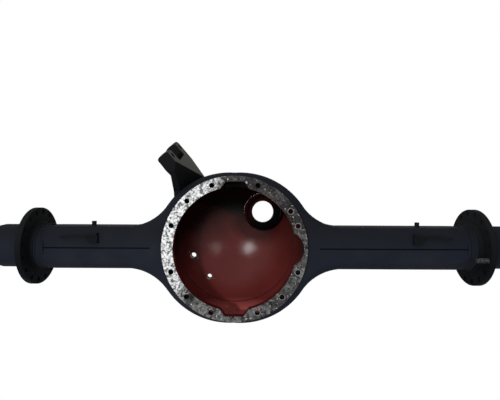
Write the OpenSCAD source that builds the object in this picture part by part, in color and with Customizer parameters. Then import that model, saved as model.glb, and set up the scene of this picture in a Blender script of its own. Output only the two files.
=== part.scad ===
// Heavy drive axle housing: two pressed halves welded round a carrier ring and a rear dome,
// with spindles, brake flanges, a torque rod bracket and two line brackets.
// X runs along the axle, -Y is the carrier's side and +Z is up. The origin is the middle of
// the carrier ring's face.

/* [Arms] */
// Height of the square arm
arm_h = 138; // [130:1:146]
// Depth of the square arm, front to back
arm_d = 138; // [130:1:146]
// Wall of the pressed halves
wall = 10; // [8:0.5:12]
// Outer corner radius of the pressed section
corner_r = 30; // [26:1:36]
// From the ring's middle to the left brake flange
left_len = 654; // [600:1:700]
// From the ring's middle to the right brake flange
right_len = 789; // [700:1:850]
// Length over which the square arm turns round
round_len = 62; // [50:1:80]
// Radius of the arm's corners where it meets the spindle
arm_end_r = 76; // [74:0.5:80]
// Depth of the groove along the welded seam
seam_groove = 2.5; // [1:0.5:4]
// Where the groove starts, from the ring's middle
seam_start = 272; // [255:1:290]

/* [Bowl] */
// Outer radius of the bowl
bowl_r = 246; // [240:1:252]
// How much wider than high the bowl is
bowl_spread = 35; // [20:1:50]
// Radius of the curve from the arm into the bowl
blend_r = 161; // [140:1:185]

/* [Carrier ring] */
// Outer diameter of the ring's face
ring_d = 467; // [462:1:474]
// Diameter of the part let into the halves
ring_body_d = 452; // [450:1:455]
// How far the face stands out of the halves
ring_lip_t = 8.5; // [6:0.5:12]
// Full thickness of the ring
ring_t = 30; // [26:1:36]
// Diameter of the opening
opening_d = 394; // [380:1:398]
// Bolt circle
ring_pcd = 430; // [424:1:434]
// Tapped hole diameter
ring_hole_d = 17; // [13:0.5:18]
// Angle of the paired holes from the upright and level lines
pair_deg = 20; // [17:0.5:24]
// Angle of the single hole that stands off the diagonal
odd_hole_deg = 34; // [33:0.5:46]
// Flat of the gear relief at the top and bottom
relief_flat = 58; // [40:1:70]
// Mouth of the gear relief
relief_mouth = 98; // [80:1:110]
// Height of the gear relief above the ring's middle
relief_h = 215; // [208:1:218]
// Reach of the round side relief
side_relief_reach = 222; // [214:1:222]
// Radius of the round side relief
side_relief_r = 56; // [48:1:60]

/* [Rear dome] */
// Inner diameter of the dome's mouth
dome_mouth_d = 404; // [398:1:412]
// Inner depth of the dome
dome_depth = 95; // [80:1:110]
// Wall of the dome
dome_wall = 9; // [7:0.5:12]

/* [Output boss] */
// Boss to the side of the ring's middle
boss_x = 97; // [88:1:100]
// Boss above the ring's middle
boss_z = 111; // [104:1:116]
// Outer diameter of the boss
boss_d = 140; // [134:1:146]
// Diameter of the bearing seat inside
boss_seat_d = 124; // [112:1:128]
// Diameter of the hole through the rear lip
boss_hole_d = 80; // [76:1:88]
// Thickness of the rear lip
boss_lip_t = 16; // [12:1:22]
// How far the boss runs out behind the halves
boss_reach = 112; // [108:1:120]

/* [Bungs] */
// Outer diameter of a threaded bung
bung_d = 36; // [32:1:40]
// Hole of the fill bung
fill_hole_d = 19; // [14:0.5:22]
// Hole of the sensor bung
sensor_hole_d = 17; // [12:0.5:20]
// How far a bung stands out behind the halves
bung_reach = 72; // [66:1:80]

/* [Brake flanges] */
// Flange diameter
flange_d = 254; // [248:1:262]
// Flange thickness
flange_t = 17; // [14:0.5:20]
// Flange bolt circle
flange_pcd = 224; // [218:1:228]
// Flange bolt hole diameter
flange_hole_d = 16; // [12:0.5:18]
// Number of flange holes
flange_holes = 16; // [12:2:16]
// Turn of the first hole from upright
flange_turn = 7.5; // [0:0.5:11]
// Hub diameter on the flange's inner face
hub_d = 166; // [160:1:172]
// Hub length
hub_len = 12; // [8:1:18]
// Length of the stud left in the right flange, inside it
stud_len = 37; // [25:1:45]

/* [Spindles] */
// Collar radius under the flange
collar_r = 71; // [70:0.5:72]
// From the arm's end to the flange's inner face
collar_in = 36; // [30:1:45]
// Collar outside the flange
collar_out = 98; // [80:1:110]
// Length of the shoulder outside the collar
shoulder_len = 60; // [45:1:75]
// Seal seat radius
seal_r = 58; // [55:0.5:61]
// Inner bearing seat radius
inner_seat_r = 50; // [48:0.5:53]
// Inner bearing seat length
inner_seat_len = 55; // [45:1:70]
// Outer bearing seat radius
outer_seat_r = 42; // [40:0.5:45]
// Outer bearing seat length
outer_seat_len = 45; // [35:1:60]
// Taper between the bearing seats
taper_len = 60; // [45:1:80]
// Plain end for the nut
end_len = 35; // [25:1:50]
// Seal seat length
seal_len = 15; // [10:1:25]
// Bore for the axle shaft
shaft_bore_r = 30; // [25:0.5:33]
// Wider bore at the inner end
wide_bore_r = 50; // [44:0.5:54]

/* [Torque rod bracket] */
// Tilt of the bracket about the axle
nose_deg = 18.5; // [16:0.5:21]
// Slope of the bracket's pad
pad_deg = 51.5; // [50:0.5:53]
// Upper end of the pad to the side of the ring's middle
pad_x = -205; // [-210:1:-200]
// Upper end of the pad above the axle, square to the tilt
pad_z = 330; // [326:1:336]
// Thickness of an ear under its pad
ear_t = 43; // [38:1:48]
// Width of an ear
ear_w = 40; // [36:1:44]
// Distance between the bolt holes of the two ears
ear_pitch = 130; // [126:1:136]
// Depth of the slot between the ears
slot_depth = 50; // [44:1:56]
// Bolt hole diameter
ear_hole_d = 18; // [14:0.5:20]
// Bolt hole from the ear's end
ear_hole_in = 22; // [18:1:26]

/* [Line brackets] */
// Length of the plate
plate_len = 116; // [100:1:130]
// How far the plate stands out in front of the arm
plate_out = 18; // [12:1:22]
// Height of the plate's outer end above the axle's middle
plate_z = 31; // [26:1:34]
// Thickness of the plate
plate_t = 6; // [5:0.5:8]
// From the flange to the plate's outer end
plate_in = 102; // [99:1:110]
// Rise of the plate towards the bowl
plate_rise_deg = 6; // [4:0.5:8]
// Length of the web under the plate
web_len = 45; // [35:1:55]
// Length of the web's foot
web_foot = 22; // [16:1:28]
// Height of the web's foot above the axle's middle
web_z = 15; // [12:1:18]
// How far the web stands out in front of the arm
web_out = 12; // [8:1:15]
// Hole for a tie
tie_hole_d = 7; // [5:0.5:9]
// Peg diameter
peg_d = 15; // [12:0.5:18]
// Peg height above the arm
peg_h = 15; // [10:1:20]

/* [Fits] */
// Clearance between pieces that are let into one another
fit = 0.2; // [0.1:0.05:0.4]

/* [Hidden] */
$fn = 96;
black_paint = [0.10, 0.10, 0.11];
red_paint = [0.42, 0.10, 0.09];
bare_iron = [0.62, 0.62, 0.60];

half_h = arm_h / 2;
half_d = arm_d / 2;
// The axle's middle line lies behind the ring's face
axle_y = ring_lip_t + half_d;
rear_y = axle_y + half_d;
// The bowl's two sides are arcs about points this far from its middle
side_x = bowl_spread / 2;
// Middle of the curve between the arm and the bowl
blend_z = half_h + blend_r;
blend_x = side_x + sqrt(pow(bowl_r + blend_r, 2) - pow(blend_z, 2));
blend_deg = atan((blend_x - side_x) / blend_z);
far = 2 * (left_len + right_len);

// The dome is part of a sphere
dome_mouth_r = dome_mouth_d / 2;
dome_r = (pow(dome_mouth_r, 2) + pow(dome_depth, 2)) / (2 * dome_depth);
dome_y = rear_y + dome_depth - dome_r;

// The curve sinks this far into arm and bowl, and is this wide, so that the three join
blend_sink = 0.8;
blend_w = 90;
// The bowl's edge is this much rounder than the arm's and the curve's this much less round, and
// the curve lies this far under the flat faces
edge_step = 1.5;
face_step = 0.5;
// Wall at the bowl's rim, where the section is rounded most
rim_wall = 16;

// Reach of the square arm's rounded corner from its middle
arm_corner_r = (max(half_h, half_d) - corner_r) * sqrt(2) + corner_r;

// Pairs beside each cross line, one hole on three diagonals, and one that stands off the fourth
ring_hole_degs = concat([for (q = [0 : 90 : 270]) for (s = [-1, 1]) q + s * pair_deg],
    [135, 225, 315], [odd_hole_deg]);

// Step between a bearing seat and what follows it
seat_step = 3;
// The stud sits in this hole, counted from the first
stud_hole = 5;
// Its outer end lies below the flange's face by
stud_sunk = 1;

// Middle of the ears behind the axle, square to the tilt
ear_mid_y = 58;
ears_w = ear_pitch + ear_w;
pad_along = [cos(pad_deg), -sin(pad_deg)];
pad_down = [-sin(pad_deg), -cos(pad_deg)];
pad_tip = [pad_x, pad_z];
ear_heel = pad_tip + ear_t * pad_down;
// Rounding of the ear's end, with the middle of each rounded corner
ear_round = 9;
ear_mid_cut = ear_round * (1 - sqrt(0.5));
// Side of the bracket: the pad, the ear's end and heel, and the stem that stands in the bowl
stem_side = 5;
stem_lean = 3;
stem_drop = 80;
stem_x = pad_x + stem_side;
heel_len = 20;
foot_len = 112;
pad_len = 180;
bracket_side = [pad_tip + ear_round * pad_along, pad_tip + ear_mid_cut * (pad_along + pad_down),
    pad_tip + ear_round * pad_down, ear_heel - ear_round * pad_down,
    ear_heel + ear_mid_cut * (pad_along - pad_down), ear_heel + ear_round * pad_along,
    ear_heel + heel_len * pad_along, [stem_x, pad_z - stem_drop],
    [stem_x + stem_lean, bowl_r / 2.7], [pad_x + foot_len, bowl_r / 2.7], pad_tip + pad_len * pad_along];
// Front of the bracket: ears at the top, drawn in to the foot
foot_w = 96;
neck_drop = 62;
foot_drop = 140;
neck_z = pad_z - neck_drop;
foot_z = pad_z - foot_drop;
bracket_front = [[-ears_w / 2, pad_z + ear_t], [-ears_w / 2, neck_z], [-foot_w / 2, foot_z],
    [-foot_w / 2, 0], [foot_w / 2, 0], [foot_w / 2, foot_z], [ears_w / 2, neck_z],
    [ears_w / 2, pad_z + ear_t]];
// Sides of the round cut that fits the foot to the bowl
cut_fn = 288;
// Slanted cut that narrows the pad towards the bowl
scoop_back = 10;
scoop_dip = 8.5;
scoop_turn = -32;

// Middle of the plate's thickness at its inner end and where the web runs out under it
web_top_z = plate_z + plate_t / 2 + plate_len * tan(plate_rise_deg);
web_out_z = web_top_z - web_len * tan(plate_rise_deg);

// Bungs in the dome, as [across, up]
fill_at = [-156, -47];
sensor_at = [-98, -124];

// Axle line as local Z, with local X pointing to the rear and local Y up
module along_axle(x) translate([x, axle_y, 0]) rotate([90, 0, 90]) children();

// Local Z as +Y, with X kept and local Y down
module along_depth(y) translate([0, y, 0]) rotate([-90, 0, 0]) children();

// Section of the pressed channel: height from the edge, rounded at the far edge
module channel_area(height, depth, r) {
    translate([0, -depth / 2 + r]) square([height, depth - 2 * r]);
    translate([0, -depth / 2]) square([height - r, depth]);
    for (s = [-1, 1]) translate([height - r, s * (depth / 2 - r)]) circle(r);
}

// A closed section rounded at all four edges, run along the axle line
module box_run(x0, x1, height, depth, r) translate([x0, axle_y, 0]) rotate([0, 90, 0])
    linear_extrude(x1 - x0) for (turn = [0, 180]) rotate([0, 0, turn]) channel_area(height, depth, r);

// Filled disc of one side of the bowl
module bowl_disc(side) translate([side * side_x, axle_y, 0]) rotate([90, 0, 0]) rotate_extrude()
    channel_area(bowl_r, arm_d, corner_r + (side > 0 ? 1 : 2) * edge_step);

// Curve between arm and bowl, sunk a little into both so that the three join
module blend_curve() translate([blend_x, axle_y, blend_z]) rotate([90, 0, 0])
    rotate([0, 0, -90 - blend_deg]) rotate_extrude(angle = blend_deg)
        translate([blend_r + blend_sink + blend_w, 0]) rotate([0, 0, 180])
            channel_area(blend_w, arm_d - 2 * face_step, corner_r - edge_step);

module body() {
    for (side = [-1, 1]) bowl_disc(side);
    box_run(-left_len + collar_in, right_len - collar_in, half_h, arm_d, corner_r);
    for (m = [0, 1]) mirror([m, 0, 0]) blend_curve();
}

// Hollow of the bowl and its curves, seen from the front above the seam
module hollow_outline() difference() {
    union() {
        intersection() {
            for (side = [-1, 1]) translate([side * side_x, 0]) circle(bowl_r - rim_wall);
            translate([-far / 2, 0]) square([far, bowl_r]);
        }
        polygon([[side_x, 0], [blend_x, 0], [blend_x, blend_z]]);
        polygon([[-side_x, 0], [-blend_x, blend_z], [-blend_x, 0]]);
    }
    for (m = [-1, 1]) translate([m * blend_x, blend_z]) circle(blend_r + rim_wall + edge_step);
}

module hollow() {
    translate([0, rear_y - wall - face_step, 0]) rotate([90, 0, 0])
        linear_extrude(arm_d - 2 * wall - 2 * face_step) hollow_outline();
    box_run(-left_len, right_len, half_h - wall, arm_d - 2 * wall, corner_r - wall);
}

// Waste outside the cone where the square arm turns round
module round_waste(len) along_axle(len - collar_in - round_len) rotate_extrude()
    polygon([[arm_corner_r, 0], [bowl_r, 0], [bowl_r, round_len + 1],
        [arm_end_r, round_len + 1], [arm_end_r, round_len]]);

// Both arms, each made as the right one
module each_side() {
    $len = right_len;
    children();
    mirror([1, 0, 0]) {
        $len = left_len;
        children();
    }
}

module seam_cut(y) translate([seam_start, y, 0]) rotate([45, 0, 0])
    translate([0, -seam_groove * sqrt(0.5), -seam_groove * sqrt(0.5)])
        cube([far, seam_groove * sqrt(2), seam_groove * sqrt(2)]);

module pressed_half() {
    difference() {
        intersection() {
            difference() {
                body();
                hollow();
            }
            translate([-far / 2, -far / 2, 0]) cube(far);
        }
        each_side() {
            round_waste($len);
            seam_cut(ring_lip_t);
            seam_cut(rear_y);
        }
        along_depth(0) cylinder(h = axle_y, d = ring_body_d + 2 * fit);
        along_depth(axle_y) cylinder(h = arm_d, d = dome_mouth_d);
    }
}

module upper_half() color(black_paint) pressed_half();

module lower_half() color(black_paint) mirror([0, 0, 1]) pressed_half();

// Opening with the reliefs that let the gear and a bearing cap through
module ring_opening() {
    circle(d = opening_d);
    for (s = [-1, 1]) scale([1, s]) polygon([[-relief_mouth / 2, opening_d / 2.5],
        [-relief_mouth / 2, opening_d / 2 - ring_lip_t], [-relief_flat / 2, relief_h],
        [relief_flat / 2, relief_h], [relief_mouth / 2, opening_d / 2 - ring_lip_t],
        [relief_mouth / 2, opening_d / 2.5]]);
    translate([side_relief_reach - side_relief_r, 0]) circle(side_relief_r);
}

module carrier_ring() color(bare_iron) {
    difference() {
        union() {
            along_depth(0) cylinder(h = ring_lip_t, d = ring_d);
            along_depth(0) cylinder(h = ring_t, d = ring_body_d);
        }
        along_depth(-1) linear_extrude(ring_t + 2) ring_opening();
        for (a = ring_hole_degs) rotate([0, -a, 0]) translate([ring_pcd / 2, 0, 0])
            along_depth(-1) cylinder(h = ring_t + 2, d = ring_hole_d);
    }
}

// A round post along Y, flush with the dome's inside
module dome_post(x, z, d, reach) {
    difference() {
        translate([x, 0, z]) along_depth(rear_y) cylinder(h = reach, d = d);
        translate([0, dome_y, 0]) sphere(dome_r);
    }
}

module dome_hole(x, z, d) translate([x, 0, z]) along_depth(0) cylinder(h = far, d = d);

module rear_dome() color(red_paint) {
    difference() {
        along_depth(0) rotate_extrude() intersection() {
            translate([0, dome_y]) difference() {
                circle(dome_r + dome_wall);
                circle(dome_r);
            }
            translate([0, rear_y]) square(dome_r + dome_wall);
        }
        dome_hole(boss_x, boss_z, boss_d + 2 * fit);
        for (at = [fill_at, sensor_at]) dome_hole(at[0], at[1], bung_d + 2 * fit);
    }
}

module output_boss() color(black_paint) {
    difference() {
        dome_post(boss_x, boss_z, boss_d, boss_reach);
        translate([boss_x, 0, boss_z]) along_depth(0)
            cylinder(h = rear_y + boss_reach - boss_lip_t, d = boss_seat_d);
        dome_hole(boss_x, boss_z, boss_hole_d);
    }
}

module bung(at, hole_d) {
    difference() {
        dome_post(at[0], at[1], bung_d, bung_reach);
        dome_hole(at[0], at[1], hole_d);
    }
}

module fill_bung() color(black_paint) bung(fill_at, fill_hole_d);

module sensor_bung() color(black_paint) bung(sensor_at, sensor_hole_d);

module spindle(len) {
    root = len - collar_in;
    collar_end = len + flange_t + collar_out;
    seal = collar_end + shoulder_len;
    inner = seal + seal_len;
    taper = inner + inner_seat_len;
    outer = taper + taper_len;
    nut = outer + outer_seat_len;
    tip = nut + end_len;
    along_axle(0) rotate_extrude() polygon([[wide_bore_r, root], [collar_r, root],
        [collar_r, collar_end], [seal_r, seal], [seal_r, inner], [inner_seat_r, inner],
        [inner_seat_r, taper], [outer_seat_r + seat_step, outer], [outer_seat_r, outer],
        [outer_seat_r, nut], [outer_seat_r - seat_step, nut], [outer_seat_r - seat_step, tip],
        [shaft_bore_r, tip], [shaft_bore_r, collar_end], [wide_bore_r, collar_end]]);
}

module spindle_left() color(black_paint) mirror([1, 0, 0]) spindle(left_len);

module spindle_right() color(black_paint) spindle(right_len);

// Places a child at each flange hole, or at one of them
module at_flange_hole(k) rotate([0, 0, 90 - flange_turn + k * 360 / flange_holes])
    translate([flange_pcd / 2, 0, 0]) children();

module brake_flange(len) along_axle(len) {
    difference() {
        union() {
            cylinder(h = flange_t, d = flange_d);
            translate([0, 0, -hub_len]) cylinder(h = hub_len, d1 = hub_d - hub_len, d2 = hub_d);
        }
        translate([0, 0, -hub_len - 1]) cylinder(h = hub_len + flange_t + 2, r = collar_r + fit);
        for (k = [0 : flange_holes - 1]) at_flange_hole(k) translate([0, 0, -1])
            cylinder(h = flange_t + 2, d = flange_hole_d);
    }
}

module brake_flange_left() color(black_paint) mirror([1, 0, 0]) brake_flange(left_len);

module brake_flange_right() color(black_paint) brake_flange(right_len);

module flange_stud() color(bare_iron) along_axle(right_len) at_flange_hole(stud_hole) {
    translate([0, 0, -stud_len])
        cylinder(h = stud_len + flange_t - stud_sunk, d = flange_hole_d - 2 * fit);
}

// The bracket's own frame: X along the axle, Y along the ears, Z square to them
module bracket_frame() translate([0, axle_y, 0]) rotate([nose_deg, 0, 0])
    translate([0, ear_mid_y, 0]) children();

// From the pad's upper end: local X down the pad, local Z out of it
module pad_frame() translate([pad_x, 0, pad_z]) rotate([0, pad_deg, 0]) children();

module torque_rod_bracket() color(black_paint) {
    difference() {
        bracket_frame() difference() {
            intersection() {
                translate([0, ears_w / 2, 0]) rotate([90, 0, 0]) linear_extrude(ears_w)
                    polygon(bracket_side);
                translate([-far / 2, 0, 0]) rotate([90, 0, 90]) linear_extrude(far)
                    polygon(bracket_front);
            }
            pad_frame() translate([-slot_depth, -(ear_pitch - ear_w) / 2, -2 * ear_t])
                cube([2 * slot_depth, ear_pitch - ear_w, 3 * ear_t]);
            for (s = [-1, 1]) pad_frame() translate([ear_hole_in, s * ear_pitch / 2, -2 * ear_t])
                cylinder(h = 3 * ear_t, d = ear_hole_d);
            pad_frame() translate([slot_depth - scoop_back, -ears_w / 2, 0])
                rotate([0, -pad_deg, 0]) rotate([0, scoop_dip, scoop_turn])
                    translate([0, -far / 2, -far / 2]) cube([far, far, far]);
        }
        bowl_disc(-1, $fn = cut_fn);
        along_depth(rear_y - 2 * edge_step) cylinder(h = arm_d, r = bowl_r, $fn = cut_fn);
    }
}

// A straight stretch of the right arm's outside, for what is welded on it
module arm_body() translate([0, axle_y, 0]) rotate([0, 90, 0]) rotate([0, 0, 180])
    linear_extrude(far) channel_area(half_h, arm_d, corner_r);

// The plate stands out of the arm's front and rises towards the bowl, and a web stands under
// its inner end
module line_bracket(len) difference() {
    union() {
        translate([len - plate_in - plate_len, ring_lip_t + corner_r, 0]) rotate([90, 0, 0])
            linear_extrude(corner_r + web_out)
                polygon([[0, web_z], [web_foot, web_z], [web_len, web_out_z], [0, web_top_z]]);
        translate([len - plate_in, ring_lip_t, plate_z]) rotate([0, plate_rise_deg, 0]) difference() {
            translate([-plate_len, -plate_out, 0]) cube([plate_len, plate_out + corner_r, plate_t]);
            for (k = [1, 2]) translate([-k * plate_len / 3, -plate_out / 2, -1])
                cylinder(h = plate_t + 2, d = tie_hole_d);
        }
    }
    arm_body();
}

module line_bracket_left() color(black_paint) mirror([1, 0, 0]) line_bracket(left_len);

module line_bracket_right() color(black_paint) line_bracket(right_len);

module bracket_peg(len) translate([len - plate_in - plate_len + 2 * peg_d, ring_lip_t + corner_r + peg_d,
    half_h]) cylinder(h = peg_h, d = peg_d);

module bracket_peg_left() color(black_paint) mirror([1, 0, 0]) bracket_peg(left_len);

module bracket_peg_right() color(black_paint) bracket_peg(right_len);

upper_half();
lower_half();
carrier_ring();
rear_dome();
output_boss();
fill_bung();
sensor_bung();
spindle_left();
spindle_right();
brake_flange_left();
brake_flange_right();
flange_stud();
torque_rod_bracket();
line_bracket_left();
line_bracket_right();
bracket_peg_left();
bracket_peg_right();
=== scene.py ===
import math

import bmesh
import bpy
from mathutils import Matrix, Vector


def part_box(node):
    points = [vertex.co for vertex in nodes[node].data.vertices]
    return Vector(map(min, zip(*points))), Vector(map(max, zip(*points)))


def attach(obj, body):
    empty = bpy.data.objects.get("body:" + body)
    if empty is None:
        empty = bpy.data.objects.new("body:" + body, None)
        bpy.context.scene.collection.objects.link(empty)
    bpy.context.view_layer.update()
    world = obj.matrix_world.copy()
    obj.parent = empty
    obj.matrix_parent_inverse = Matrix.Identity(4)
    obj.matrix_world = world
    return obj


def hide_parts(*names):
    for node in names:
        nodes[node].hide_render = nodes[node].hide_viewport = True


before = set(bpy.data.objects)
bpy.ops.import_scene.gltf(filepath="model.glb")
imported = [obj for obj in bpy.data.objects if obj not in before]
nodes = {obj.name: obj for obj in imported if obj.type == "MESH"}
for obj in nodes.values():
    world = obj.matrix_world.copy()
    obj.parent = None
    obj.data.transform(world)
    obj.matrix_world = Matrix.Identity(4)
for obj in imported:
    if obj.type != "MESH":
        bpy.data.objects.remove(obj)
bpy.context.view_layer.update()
print("frame loaded:", len(nodes), "nodes")


# node tree helpers
def newMaterial(name):
    mat = bpy.data.materials.new(name)
    mat.use_nodes = True
    tree = mat.node_tree
    shader = tree.nodes["Principled BSDF"]
    return mat, tree, shader


def join(tree, value, socket):
    if hasattr(value, "links"):
        tree.links.new(value, socket)
    else:
        socket.default_value = value


def mathNode(tree, operation, a, b=0.0):
    node = tree.nodes.new("ShaderNodeMath")
    node.operation = operation
    join(tree, a, node.inputs[0])
    join(tree, b, node.inputs[1])
    return node.outputs[0]


def plus(tree, a, b):
    return mathNode(tree, "ADD", a, b)


def times(tree, a, b):
    return mathNode(tree, "MULTIPLY", a, b)


def larger(tree, a, b):
    return mathNode(tree, "MAXIMUM", a, b)


def below(tree, value, limit):
    return mathNode(tree, "LESS_THAN", value, limit)


def above(tree, value, limit):
    return mathNode(tree, "GREATER_THAN", value, limit)


def hypotenuse(tree, a, b):
    return mathNode(tree, "SQRT", plus(tree, times(tree, a, a), times(tree, b, b)))


def mixColour(tree, factor, a, b):
    node = tree.nodes.new("ShaderNodeMix")
    node.data_type = "RGBA"
    join(tree, factor, node.inputs[0])
    join(tree, a if hasattr(a, "links") else (*a, 1.0), node.inputs[6])
    join(tree, b if hasattr(b, "links") else (*b, 1.0), node.inputs[7])
    return node.outputs[2]


def mixValue(tree, factor, a, b):
    node = tree.nodes.new("ShaderNodeMix")
    join(tree, factor, node.inputs[0])
    join(tree, a, node.inputs[2])
    join(tree, b, node.inputs[3])
    return node.outputs[0]


def noise(tree, coords, scale, detail, roughness=0.55):
    node = tree.nodes.new("ShaderNodeTexNoise")
    node.inputs["Scale"].default_value = scale
    node.inputs["Detail"].default_value = detail
    node.inputs["Roughness"].default_value = roughness
    join(tree, coords, node.inputs["Vector"])
    return node.outputs["Fac"]


def spread(tree, value, low, high, outLow=0.0, outHigh=1.0):
    node = tree.nodes.new("ShaderNodeMapRange")
    node.inputs["From Min"].default_value = low
    node.inputs["From Max"].default_value = high
    node.inputs["To Min"].default_value = outLow
    node.inputs["To Max"].default_value = outHigh
    join(tree, value, node.inputs["Value"])
    return node.outputs["Result"]


def dotProduct(tree, vector, way):
    node = tree.nodes.new("ShaderNodeVectorMath")
    node.operation = "DOT_PRODUCT"
    join(tree, vector, node.inputs[0])
    node.inputs[1].default_value = way
    return node.outputs["Value"]


def bump(tree, shader, height, distance):
    node = tree.nodes.new("ShaderNodeBump")
    node.inputs["Strength"].default_value = 1.0
    node.inputs["Distance"].default_value = distance
    join(tree, height, node.inputs["Height"])
    tree.links.new(node.outputs["Normal"], shader.inputs["Normal"])


def objectCoords(tree):
    place = tree.nodes.new("ShaderNodeTexCoord").outputs["Object"]
    split = tree.nodes.new("ShaderNodeSeparateXYZ")
    tree.links.new(place, split.inputs[0])
    return place, split.outputs


# distance of a surface point from a line along Y through (x, z)
def fromLine(tree, xyz, x, z):
    dx = mathNode(tree, "SUBTRACT", xyz[0], x)
    dz = mathNode(tree, "SUBTRACT", xyz[2], z)
    return hypotenuse(tree, dx, dz)


# how far a point lies along a direction in the X and Z plane
def alongWay(tree, xyz, way):
    return plus(tree, times(tree, xyz[0], way[0]), times(tree, xyz[2], way[1]))


def dress(names, mat):
    for name in names:
        mesh = nodes[name].data
        mesh.materials.clear()
        mesh.materials.append(mat)


# satin black paint over pressed and cast steel
blackPaint = {
    "colour": (0.0085, 0.0104, 0.0164),
    "worn": (0.0118, 0.0132, 0.0180),
    "wornNoise": {"scale": 9.0, "detail": 6.0},
    "wornFrom": (0.45, 0.75),
    # painted shade by height: higher up the paint is darker and less blue
    "upper": (0.0072, 0.0084, 0.0116),
    "upperFrom": (-0.01, 0.05),
    "roughness": (0.72, 0.84),
    "roughNoise": {"scale": 16.0, "detail": 5.0},
    "roughFrom": (0.3, 0.7),
    "specular": 0.05,
    "grainNoise": {"scale": 420.0, "detail": 3.0},
    "grainHeight": 0.00025,
}

# flanges and small brackets are darker, the line brackets as painted shade
darkCoatAndShade = dict(
    blackPaint,
    colour=(0.0022, 0.0030, 0.0043),
    worn=(0.0040, 0.0046, 0.0058),
    # painted light by height: the flanges and brackets are lighter higher up
    upper=(0.0066, 0.0070, 0.0077),
    upperFrom=(-0.06, 0.06),
    specular=0.035,
)

# the dome shines more, with a fine orange peel, and the boss in its shade does not
domeCoat = dict(
    blackPaint,
    colour=(0.0022, 0.0034, 0.0072),
    worn=(0.0045, 0.0055, 0.0090),
    # painted shade by height: the dome is darker higher up
    upper=(0.0015, 0.0020, 0.0036),
    specular=0.13,
    grainNoise={"scale": 300.0, "detail": 3.0},
    grainHeight=0.0004,
)
bossCoat = dict(blackPaint, specular=0.02)

# glossy red primer inside the bowl, blackened towards its top by old oil and painted shade
redPrimer = {
    "colour": (0.095, 0.0165, 0.0145),
    "dark": (0.082, 0.0125, 0.0110),
    "darkFrom": (0.35, 0.7),
    "patchNoise": {"scale": 7.0, "detail": 5.0},
    # painted light: the red is lighter low in the bowl, where light falls on it
    "low": (0.24, 0.055, 0.050),
    "paintedLitBottomReach": (0.190, 0.225),
    "raggedFrom": (0.3, 0.7),
    "ragged": (-0.02, 0.02),
    "oilAndPaintedShade": (0.0012, 0.0006, 0.0006),
    # runs of old oil and painted shade, towards the top left, the top and the right
    "oilAndShadeRuns": [
        {"way": (-0.62, 0.78), "reach": (0.000, 0.150), "depth": 0.94},
        {"way": (0.10, 1.00), "reach": (0.050, 0.135), "depth": 1.0},
        {"way": (0.90, 0.45), "reach": (0.060, 0.220), "depth": 0.7},
    ],
    "bossShade": (0.026, 0.0012, 0.0016),
    "bossShadeMiddle": (0.070, 0.085),
    "bossShadeReach": (0.105, 0.070),
    "bossShadeDepth": 0.85,
    "roughness": (0.06, 0.27),
    "sparkleNoise": {"scale": 240.0, "detail": 2.0},
    "sparkleFrom": (0.35, 0.65),
    "bare": (0.055, 0.0075, 0.0070),
    # painted shade in the boss seat, blackest at its bottom right
    "seat": (0.014, 0.0018, 0.0020),
    "seatShadeWay": (0.64, -0.77),
    "seatShadeReach": (-0.045, -0.008),
}

# where the red begins inside the bowl
bowl = {
    "innerRadius": 0.2322,
    "armMouth": 0.2640,
    "frontFace": 0.0165,
    "rearFace": 0.1385,
    "domeCentre": -0.0208,
    "domeRadius": 0.2670,
    "boss": (0.097, 0.111),
    "bossSeat": 0.0625,
    "bossDepth": 0.2440,
}

# the open seam between the pressed halves, a dark line painted as the shade in its groove
seam = {"halfHeight": 0.0019, "start": 0.272, "colour": (0.0015, 0.0015, 0.0018)}


def redNodes(tree, place, xyz):
    patch = noise(tree, place, **redPrimer["patchNoise"])
    darker = spread(tree, patch, *redPrimer["darkFrom"])
    red = mixColour(tree, darker, redPrimer["colour"], redPrimer["dark"])
    # painted light, lighter low down in the bowl
    paintedLitBottom = spread(tree, times(tree, xyz[2], -1.0), *redPrimer["paintedLitBottomReach"])
    red = mixColour(tree, paintedLitBottom, red, redPrimer["low"])
    ragged = spread(tree, patch, *redPrimer["raggedFrom"], *redPrimer["ragged"])
    away = plus(tree, fromLine(tree, xyz, *redPrimer["bossShadeMiddle"]), ragged)
    shade = spread(tree, away, *redPrimer["bossShadeReach"], 0.0, redPrimer["bossShadeDepth"])
    red = mixColour(tree, shade, red, redPrimer["bossShade"])
    # old oil and painted shade blacken the red
    oilAndPaintedShade = 0.0
    for run in redPrimer["oilAndShadeRuns"]:
        height = plus(tree, alongWay(tree, xyz, run["way"]), ragged)
        oilAndPaintedShade = larger(tree, oilAndPaintedShade, spread(tree, height, *run["reach"], 0.0, run["depth"]))
    red = mixColour(tree, oilAndPaintedShade, red, redPrimer["oilAndPaintedShade"])
    sparkle = noise(tree, place, **redPrimer["sparkleNoise"])
    return red, spread(tree, sparkle, *redPrimer["sparkleFrom"], *redPrimer["roughness"])


# the boss seat, dark as painted shade, blackest at its bottom right
def seatShadeNodes(tree, xyz):
    low = spread(tree, alongWay(tree, xyz, redPrimer["seatShadeWay"]), *redPrimer["seatShadeReach"])
    return mixColour(tree, low, redPrimer["seat"], redPrimer["oilAndPaintedShade"])


# painted shade along the seam
def seamShadeNodes(tree, xyz, colour):
    low = below(tree, mathNode(tree, "ABSOLUTE", xyz[2]), seam["halfHeight"])
    out = above(tree, mathNode(tree, "ABSOLUTE", xyz[0]), seam["start"])
    return mixColour(tree, times(tree, low, out), colour, seam["colour"])


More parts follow.
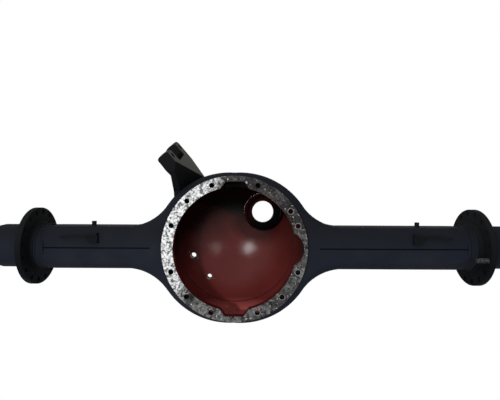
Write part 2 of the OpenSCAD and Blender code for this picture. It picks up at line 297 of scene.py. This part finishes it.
def paintNodes(tree, shader, redMask, paint, seated):
    place, xyz = objectCoords(tree)
    worn = spread(tree, noise(tree, place, **paint["wornNoise"]), *paint["wornFrom"])
    colour = mixColour(tree, worn, paint["colour"], paint["worn"])
    # painted light and shade by height
    upper = spread(tree, xyz[2], *paint["upperFrom"])
    colour = mixColour(tree, upper, colour, paint["upper"])
    rough = noise(tree, place, **paint["roughNoise"])
    rough = spread(tree, rough, *paint["roughFrom"], *paint["roughness"])
    if redMask:
        mask = redMask(tree, xyz)
        red, redRough = redNodes(tree, place, xyz)
        red = seatShadeNodes(tree, xyz) if seated else red
        colour = seamShadeNodes(tree, xyz, mixColour(tree, mask, colour, red))
        rough = mixValue(tree, mask, rough, redRough)
    join(tree, colour, shader.inputs["Base Color"])
    join(tree, rough, shader.inputs["Roughness"])
    shader.inputs["Specular IOR Level"].default_value = paint["specular"]
    bump(tree, shader, noise(tree, place, **paint["grainNoise"]), paint["grainHeight"])


def paintedMaterial(name, redMask=None, paint=blackPaint, seated=False):
    mat, tree, shader = newMaterial(name)
    paintNodes(tree, shader, redMask, paint, seated)
    return mat


# the halves are red where they lie near the middle, or look towards it short of the arms
def insideHalves(tree, xyz):
    out = fromLine(tree, xyz, 0.0, 0.0)
    normal = tree.nodes.new("ShaderNodeNewGeometry").outputs["True Normal"]
    facing = tree.nodes.new("ShaderNodeSeparateXYZ")
    tree.links.new(normal, facing.inputs[0])
    outward = plus(tree, times(tree, xyz[0], facing.outputs[0]),
                   times(tree, xyz[2], facing.outputs[2]))
    inward = times(tree, below(tree, outward, 0.0), below(tree, out, bowl["armMouth"]))
    near = larger(tree, below(tree, out, bowl["innerRadius"]), inward)
    behind = above(tree, xyz[1], bowl["frontFace"])
    ahead = below(tree, xyz[1], bowl["rearFace"])
    return times(tree, near, times(tree, behind, ahead))


def insideDome(tree, xyz):
    rise = mathNode(tree, "SUBTRACT", xyz[1], bowl["domeCentre"])
    out = fromLine(tree, xyz, 0.0, 0.0)
    return below(tree, hypotenuse(tree, rise, out), bowl["domeRadius"])


def insideBoss(tree, xyz):
    seat = below(tree, fromLine(tree, xyz, *bowl["boss"]), bowl["bossSeat"])
    deep = below(tree, xyz[1], bowl["bossDepth"])
    return larger(tree, times(tree, seat, deep), insideDome(tree, xyz))


plainBlack = paintedMaterial("blackPaint")
dress(["spindle_left", "spindle_right"], plainBlack)
# the line brackets' dark coat is painted shade
dress(["brake_flange_left", "brake_flange_right", "line_bracket_left", "line_bracket_right",
       "bracket_peg_left", "bracket_peg_right"], paintedMaterial("darkCoatAndShade", None, darkCoatAndShade))
dress(["upper_half", "lower_half"], paintedMaterial("halfPaint", insideHalves))
dress(["rear_dome", "fill_bung", "sensor_bung"],
      paintedMaterial("domePaint", insideDome, domeCoat))
dress(["output_boss"], paintedMaterial("bossPaint", insideBoss, bossCoat, True))

# middle of a tapped hole of the carrier ring
boltCircle = 0.2150


def boltPlace(degrees):
    turn = math.radians(degrees)
    return Vector((math.cos(turn), 0.0, math.sin(turn))) * boltCircle


# machined face of the carrier ring, light on the left with a painted reflection on the bare
# metal, dull and stained elsewhere
ringMetal = {
    "bareMetalAndReflection": (0.51, 0.515, 0.52),
    "paintedReflectionWay": (-0.951, 0.31),
    "paintedReflectionFrom": (0.098, 0.140),
    "raggedFrom": (0.2, 0.8),
    "ragged": (-0.03, 0.03),
    "scrape": (0.060, 0.060, 0.060),
    "scrapeFrom": (0.455, 0.545),
    "dull": (0.095, 0.095, 0.094),
    "shade": (0.032, 0.029, 0.029),
    "shadeWay": (0.45, 0.89),
    "shadeFrom": (0.02, 0.17),
    "wearNoise": {"scale": 15.0, "detail": 3.0},
    "wearFrom": (0.38, 0.62),
    "wear": (0.40, 1.45),
    "stain": (0.010, 0.010, 0.010),
    "stainFrom": (0.43, 0.53),
    "fleck": (0.50, 0.50, 0.49),
    "fleckNoise": {"scale": 120.0, "detail": 5.0, "roughness": 0.7},
    "fleckFrom": (0.58, 0.68),
    "blotchNoise": {"scale": 62.0, "detail": 9.0, "roughness": 0.72},
    "blotchShare": 0.55,
    "streakNoise": {"scale": 1.0, "detail": 6.0, "roughness": 0.65},
    "streakTurn": 28.0,
    "streakOut": 120.0,
    "streakShare": 0.45,
    "rim": (0.24, 0.235, 0.235),
    "rimReach": (0.0112, 0.0085),
    "rimFrom": (0.40, 0.55),
    "rimShare": (0.25, 1.0),
    "rimmed": (20, 34, -20, 315, 290),
    "smears": [(-0.1346, -0.1535, 0.013), (0.0741, 0.1985, 0.014)],
    "smearFrom": (0.35, 0.65),
    "smearRagged": (-0.006, 0.006),
    "smearCore": 3,
    "faceDepth": 0.0012,
    "outerFrom": 0.2200,
    "metallic": 0.35,
    "roughFrom": (0.3, 0.7),
    "roughness": (0.36, 0.55),
    "specular": 0.05,
    "grainHeight": 0.0006,
}


# cloudy blotches, drawn out round the ring
def ringBlotch(tree, place, xyz):
    turn = mathNode(tree, "ARCTAN2", xyz[2], times(tree, xyz[0], -1.0))
    out = fromLine(tree, xyz, 0.0, 0.0)
    polar = tree.nodes.new("ShaderNodeCombineXYZ")
    join(tree, times(tree, turn, ringMetal["streakTurn"]), polar.inputs[0])
    join(tree, times(tree, out, ringMetal["streakOut"]), polar.inputs[1])
    streak = noise(tree, polar.outputs[0], **ringMetal["streakNoise"])
    cloud = noise(tree, place, **ringMetal["blotchNoise"])
    return plus(tree, times(tree, cloud, ringMetal["blotchShare"]),
                times(tree, streak, ringMetal["streakShare"]))


# the dull part, stained in blotches and darker towards the top right as painted shade
def ringDull(tree, place, xyz, blotch, fleck):
    shaded = spread(tree, alongWay(tree, xyz, ringMetal["shadeWay"]), *ringMetal["shadeFrom"])
    dull = mixColour(tree, shaded, ringMetal["dull"], ringMetal["shade"])
    patch = noise(tree, place, **ringMetal["wearNoise"])
    wear = tree.nodes.new("ShaderNodeVectorMath")
    wear.operation = "SCALE"
    join(tree, dull, wear.inputs[0])
    join(tree, spread(tree, patch, *ringMetal["wearFrom"], *ringMetal["wear"]),
         wear.inputs["Scale"])
    clean = spread(tree, blotch, *ringMetal["stainFrom"])
    dull = mixColour(tree, clean, ringMetal["stain"], wear.outputs[0])
    return mixColour(tree, spread(tree, fleck, *ringMetal["fleckFrom"]), dull, ringMetal["fleck"])


def ringFace(tree, place, xyz, blotch, fleck):
    dull = ringDull(tree, place, xyz, blotch, fleck)
    scraped = spread(tree, blotch, *ringMetal["scrapeFrom"])
    bareMetalAndReflection = mixColour(tree, scraped, ringMetal["scrape"], ringMetal["bareMetalAndReflection"])
    # painted reflection on the left of the face
    side = plus(tree, alongWay(tree, xyz, ringMetal["paintedReflectionWay"]),
                spread(tree, blotch, *ringMetal["raggedFrom"], *ringMetal["ragged"]))
    face = mixColour(tree, spread(tree, side, *ringMetal["paintedReflectionFrom"]), dull, bareMetalAndReflection)
    for degrees in ringMetal["rimmed"]:
        hole = boltPlace(degrees)
        near = spread(tree, fromLine(tree, xyz, hole.x, hole.z), *ringMetal["rimReach"])
        rubbed = spread(tree, blotch, *ringMetal["rimFrom"], *ringMetal["rimShare"])
        face = mixColour(tree, times(tree, near, rubbed), face, ringMetal["rim"])
    for x, z, reach in ringMetal["smears"]:
        ragged = spread(tree, blotch, *ringMetal["smearFrom"], *ringMetal["smearRagged"])
        away = plus(tree, fromLine(tree, xyz, x, z), ragged)
        smeared = spread(tree, away, reach, reach / ringMetal["smearCore"])
        face = mixColour(tree, smeared, face, ringMetal["stain"])
    return face


def ringMaterial():
    mat, tree, shader = newMaterial("bareRing")
    place, xyz = objectCoords(tree)
    blotch = ringBlotch(tree, place, xyz)
    fleck = noise(tree, place, **ringMetal["fleckNoise"])
    face = ringFace(tree, place, xyz, blotch, fleck)
    outer = above(tree, fromLine(tree, xyz, 0.0, 0.0), ringMetal["outerFrom"])
    sideColour = mixColour(tree, outer, redPrimer["bare"], blackPaint["colour"])
    sideFace = above(tree, xyz[1], ringMetal["faceDepth"])
    front = mathNode(tree, "SUBTRACT", 1.0, sideFace)
    join(tree, mixColour(tree, sideFace, face, sideColour), shader.inputs["Base Color"])
    join(tree, times(tree, front, ringMetal["metallic"]), shader.inputs["Metallic"])
    join(tree, spread(tree, blotch, *ringMetal["roughFrom"], *ringMetal["roughness"]),
         shader.inputs["Roughness"])
    shader.inputs["Specular IOR Level"].default_value = ringMetal["specular"]
    bump(tree, shader, plus(tree, blotch, fleck), ringMetal["grainHeight"])
    return mat


dress(["carrier_ring"], ringMaterial())

# the cast bracket is darker than the arms, its flat face is lighter as painted light where it
# faces the light, and its edges are softly rounded
castBracket = {
    "colour": (0.0035, 0.0036, 0.0042),
    "pad": (0.040, 0.039, 0.032),
    "padWay": (0.782608, -0.197527, 0.590345),
    "padSkin": 0.0010,
    "roughness": 0.55,
    "specular": 0.05,
    "weld": 0.00005,
    "flat": math.radians(1.5),
    "edge": 0.0055,
    "edgeSegments": 3,
    "corner": math.radians(38),
}
bracket = nodes["torque_rod_bracket"]


def bracketMaterial():
    mat, tree, shader = newMaterial("bracketPaint")
    place, _ = objectCoords(tree)
    way = Vector(castBracket["padWay"])
    level = max(v.co.dot(way) for v in bracket.data.vertices)
    onPad = above(tree, dotProduct(tree, place, way), level - castBracket["padSkin"])
    # painted light on the flat face that faces the light
    join(tree, mixColour(tree, onPad, castBracket["colour"], castBracket["pad"]),
         shader.inputs["Base Color"])
    shader.inputs["Roughness"].default_value = castBracket["roughness"]
    shader.inputs["Specular IOR Level"].default_value = castBracket["specular"]
    bump(tree, shader, noise(tree, place, **blackPaint["grainNoise"]), blackPaint["grainHeight"])
    return mat


def roundBracket():
    merged = bracket.modifiers.new("merged", "WELD")
    merged.merge_threshold = castBracket["weld"]
    flats = bracket.modifiers.new("flats", "DECIMATE")
    flats.decimate_type = "DISSOLVE"
    flats.angle_limit = castBracket["flat"]
    rounded = bracket.modifiers.new("rounded", "BEVEL")
    rounded.width = castBracket["edge"]
    rounded.segments = castBracket["edgeSegments"]
    rounded.limit_method = "ANGLE"
    rounded.angle_limit = castBracket["corner"]


dress(["torque_rod_bracket"], bracketMaterial())
roundBracket()
print("finishes set")

smoothUpTo = math.radians(40)
origin = (0.0, 0.0, 0.0)
alongX, alongY = Vector((1.0, 0.0, 0.0)), Vector((0.0, 1.0, 0.0))


def across(axis):
    return alongY if axis == alongX else alongX


# a finished bmesh becomes a piece on the housing
def addPiece(name, bm, mat):
    bmesh.ops.recalc_face_normals(bm, faces=bm.faces)
    mesh = bpy.data.meshes.new(name)
    bm.to_mesh(mesh)
    bm.free()
    mesh.materials.append(mat)
    mesh.shade_smooth()
    mesh.set_sharp_from_angle(angle=smoothUpTo)
    piece = bpy.data.objects.new(name, mesh)
    bpy.context.collection.objects.link(piece)
    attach(piece, "root")
    return piece


# rippled weld beads: axis and middle of each run, its radius and the bead's thickness
weld = {"steps": 600, "sides": 10, "ripple": 0.10, "rippleLength": 0.0065, "flat": 0.8}
axleY = 0.0775
weldRuns = [
    {"name": "weldSpindleLeft", "axis": alongX, "middle": (-0.6165, axleY, 0.0),
     "radius": 0.0715, "size": 0.0050},
    {"name": "weldSpindleRight", "axis": alongX, "middle": (0.7515, axleY, 0.0),
     "radius": 0.0715, "size": 0.0050},
    {"name": "weldHubLeft", "axis": alongX, "middle": (-0.6415, axleY, 0.0),
     "radius": 0.0720, "size": 0.0040},
    {"name": "weldHubRight", "axis": alongX, "middle": (0.7765, axleY, 0.0),
     "radius": 0.0720, "size": 0.0040},
    {"name": "weldRing", "axis": alongY, "middle": (0.0, 0.0110, 0.0),
     "radius": 0.2312, "size": 0.0036},
    {"name": "weldDome", "axis": alongY, "middle": (0.0, 0.1475, 0.0),
     "radius": 0.2150, "size": 0.0055},
]


# a flattened circle is spun round the axis, then swells and narrows along the run
def weldBead(name, axis, middle, radius, size):
    out = across(axis)
    bm = bmesh.new()
    bmesh.ops.create_circle(bm, segments=weld["sides"], radius=size)
    bmesh.ops.scale(bm, vec=axis + out * weld["flat"], verts=bm.verts)
    bmesh.ops.translate(bm, vec=out * radius, verts=bm.verts)
    bmesh.ops.spin(bm, geom=bm.verts[:] + bm.edges[:], cent=origin, axis=axis,
                   angle=math.tau, steps=weld["steps"], use_merge=True)
    waves = round(math.tau * radius / weld["rippleLength"])
    for v in bm.verts:
        outward = v.co - axis * v.co.dot(axis)
        turn = math.atan2(outward.z, outward.dot(out))
        core = outward.normalized() * radius
        v.co = core + (v.co - core) * (1.0 + weld["ripple"] * math.sin(waves * turn))
    bmesh.ops.translate(bm, vec=middle, verts=bm.verts)
    addPiece(name, bm, plainBlack)


for run in weldRuns:
    weldBead(**run)

# a ridge is a little narrower than the pitch, so that turns don't share an edge
ridgeShare = 0.94


def wholeTurns(length, pitch):
    return int(length / pitch) - 1


# one turn after another of a thread: a triangle is spun and moved on at each step
def threadRidge(bm, axis, start, root, crest, pitch, turns, perTurn):
    out = across(axis)
    foot = pitch * ridgeShare / 2
    corners = [bm.verts.new(axis * (start + shift) + out * radius)
               for shift, radius in ((-foot, root), (0.0, crest), (foot, root))]
    edges = [bm.edges.new((corners[k], corners[k - 1])) for k in range(3)]
    made = bmesh.ops.spin(bm, geom=corners + edges, cent=origin, axis=axis,
                          dvec=axis * (pitch / perTurn), angle=math.tau * turns,
                          steps=perTurn * turns)
    last = [edge for edge in made["geom_last"] if isinstance(edge, bmesh.types.BMEdge)]
    bmesh.ops.contextual_create(bm, geom=edges)
    bmesh.ops.contextual_create(bm, geom=last)


# the stud: threaded up to the flange, plain inside it
stud = {
    "colour": (0.085, 0.085, 0.083),
    "dirt": (0.016, 0.016, 0.017),
    "dirtNoise": {"scale": 120.0, "detail": 5.0},
    "dirtFrom": (0.45, 0.65),
    "metallic": 0.5,
    "roughness": 0.45,
    "grainHeight": 0.0008,
    "pitch": 0.002,
    "depth": 0.0010,
    "sunk": 0.0001,
    "sides": 36,
    "flangeFace": 0.789,
}


def studMaterial():
    mat, tree, shader = newMaterial("studSteel")
    place, xyz = objectCoords(tree)
    dirt = spread(tree, noise(tree, place, **stud["dirtNoise"]), *stud["dirtFrom"])
    join(tree, mixColour(tree, dirt, stud["colour"], stud["dirt"]), shader.inputs["Base Color"])
    shader.inputs["Metallic"].default_value = stud["metallic"]
    shader.inputs["Roughness"].default_value = stud["roughness"]
    turn = mathNode(tree, "SINE", times(tree, xyz[0], math.tau / stud["pitch"]))
    bump(tree, shader, turn, stud["grainHeight"])
    return mat


def rod(bm, radius, start, end):
    turned = Matrix.Rotation(math.pi / 2, 4, "Y")
    place = Matrix.Translation(alongX * (start + end) / 2) @ turned
    bmesh.ops.create_cone(bm, cap_ends=True, segments=stud["sides"], radius1=radius,
                          radius2=radius, depth=end - start, matrix=place)


def studPiece():
    low, high = (Vector(corner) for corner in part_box("flange_stud"))
    middle = (low + high) / 2
    radius = (high.y - low.y) / 2
    core = radius - stud["depth"]
    pitch = stud["pitch"]
    bm = bmesh.new()
    rod(bm, core, low.x, stud["flangeFace"])
    rod(bm, radius, stud["flangeFace"], high.x)
    threadRidge(bm, alongX, low.x + pitch / 2, core - stud["sunk"], radius, pitch,
                wholeTurns(stud["flangeFace"] - low.x, pitch), stud["sides"])
    bmesh.ops.translate(bm, vec=(0.0, middle.y, middle.z), verts=bm.verts)
    piece = addPiece("threadedStud", bm, nodes["flange_stud"].data.materials[0])
    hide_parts("flange_stud")


dress(["flange_stud"], studMaterial())
studPiece()

# thread in the ring's tapped holes, with its crests standing into the hole
tapped = {
    "root": 0.00845,
    "crest": 0.00725,
    "pitch": 0.0025,
    "sides": 24,
    "from": 0.0012,
    "to": 0.0290,
    "degrees": (20, -20, 70, 110, 160, 200, 250, 290, 135, 225, 315, 34),
}
threadSteel = paintedMaterial("threadSteel", None, darkCoatAndShade)


def tappedThread(number, degrees):
    pitch = tapped["pitch"]
    bm = bmesh.new()
    threadRidge(bm, alongY, tapped["from"] + pitch / 2, tapped["root"], tapped["crest"], pitch,
                wholeTurns(tapped["to"] - tapped["from"], pitch), tapped["sides"])
    bmesh.ops.translate(bm, vec=boltPlace(degrees), verts=bm.verts)
    addPiece("tappedThread%02d" % number, bm, threadSteel)


for number, degrees in enumerate(tapped["degrees"], 1):
    tappedThread(number, degrees)
print("welds and threads built")

# stage, light and camera
pureWhite = (1.0, 1.0, 1.0, 1.0)
stage = {
    "floorHeight": -0.80,
    "floorSize": 30.0,
    "floorColour": (0.5, 0.5, 0.5),
    "skyLight": 1.35,
    "skyWay": (-0.52, -0.50, 0.70),
    "skyFrom": (-0.05, 1.0),
}


# plain white where it is seen, mirrored or looked through, and the given shader as light
def whiteToCamera(tree, shader, out):
    path = tree.nodes.new("ShaderNodeLightPath").outputs
    seen = larger(tree, path["Is Camera Ray"],
                  larger(tree, path["Is Glossy Ray"], path["Is Transmission Ray"]))
    onMaterial = out.node.type == "OUTPUT_MATERIAL"
    white = tree.nodes.new("ShaderNodeEmission" if onMaterial else "ShaderNodeBackground")
    white.inputs["Color"].default_value = pureWhite
    white.inputs["Strength"].default_value = 1.0
    mixed = tree.nodes.new("ShaderNodeMixShader")
    tree.links.new(seen, mixed.inputs[0])
    tree.links.new(shader, mixed.inputs[1])
    tree.links.new(white.outputs[0], mixed.inputs[2])
    tree.links.new(mixed.outputs[0], out)


floorMesh = bpy.data.meshes.new("floor")
bm = bmesh.new()
bmesh.ops.create_grid(bm, x_segments=1, y_segments=1, size=stage["floorSize"] / 2)
bmesh.ops.translate(bm, verts=bm.verts, vec=(0.0, 0.0, stage["floorHeight"]))
bm.to_mesh(floorMesh)
bm.free()
floor = bpy.data.objects.new("floor", floorMesh)
bpy.context.collection.objects.link(floor)
floorMat, floorTree, floorShader = newMaterial("paleFloor")
floorShader.inputs["Base Color"].default_value = (*stage["floorColour"], 1.0)
whiteToCamera(floorTree, floorShader.outputs[0],
              floorTree.nodes["Material Output"].inputs["Surface"])
floorMesh.materials.append(floorMat)

world = bpy.data.worlds.new("studio")
bpy.context.scene.world = world
world.use_nodes = True
skyTree = world.node_tree
sky = skyTree.nodes["Background"]
sky.inputs["Color"].default_value = pureWhite
skyPlace = skyTree.nodes.new("ShaderNodeTexCoord").outputs["Generated"]
towards = dotProduct(skyTree, skyPlace, Vector(stage["skyWay"]).normalized())
skyStrength = spread(skyTree, towards, *stage["skyFrom"], 0.0, stage["skyLight"])
join(skyTree, skyStrength, sky.inputs["Strength"])
whiteToCamera(skyTree, sky.outputs[0], skyTree.nodes["World Output"].inputs["Surface"])

lampAim = Vector((0.0, 0.1, 0.0))
lamps = [
    {"name": "leftLamp", "place": (-1.00, -2.55, 0.16), "size": 0.16, "power": 44.0},
    {"name": "rightLamp", "place": (1.40, -2.45, 0.14), "size": 0.30, "power": 9.0},
]
for lamp in lamps:
    light = bpy.data.lights.new(lamp["name"], "AREA")
    light.shape = "DISK"
    light.size = lamp["size"]
    light.energy = lamp["power"]
    holder = bpy.data.objects.new(lamp["name"], light)
    bpy.context.collection.objects.link(holder)
    holder.location = lamp["place"]
    holder.rotation_euler = (lampAim - holder.location).to_track_quat("-Z", "Y").to_euler()

photoCamera = {
    "place": (0.0486, -1.290, 0.164),
    "roll": -0.005,
    "sensorWidth": 36.0,
    "focalPx": 406.0,
    "widthPx": 500.0,
    "axisRowPx": 197.5,
    "middleRowPx": 200.0,
}
camera = bpy.data.cameras.new("photoCamera")
camera.sensor_width = photoCamera["sensorWidth"]
camera.lens = camera.sensor_width * photoCamera["focalPx"] / photoCamera["widthPx"]
rowShift = photoCamera["axisRowPx"] - photoCamera["middleRowPx"]
camera.shift_y = rowShift / photoCamera["widthPx"]
cameraHolder = bpy.data.objects.new("photoCamera", camera)
bpy.context.collection.objects.link(cameraHolder)
cameraHolder.location = photoCamera["place"]
cameraHolder.rotation_euler = (math.pi / 2, photoCamera["roll"], 0.0)
bpy.context.scene.camera = cameraHolder
bpy.context.scene.view_settings.view_transform = "Standard"
print("stage, lamps and camera set")
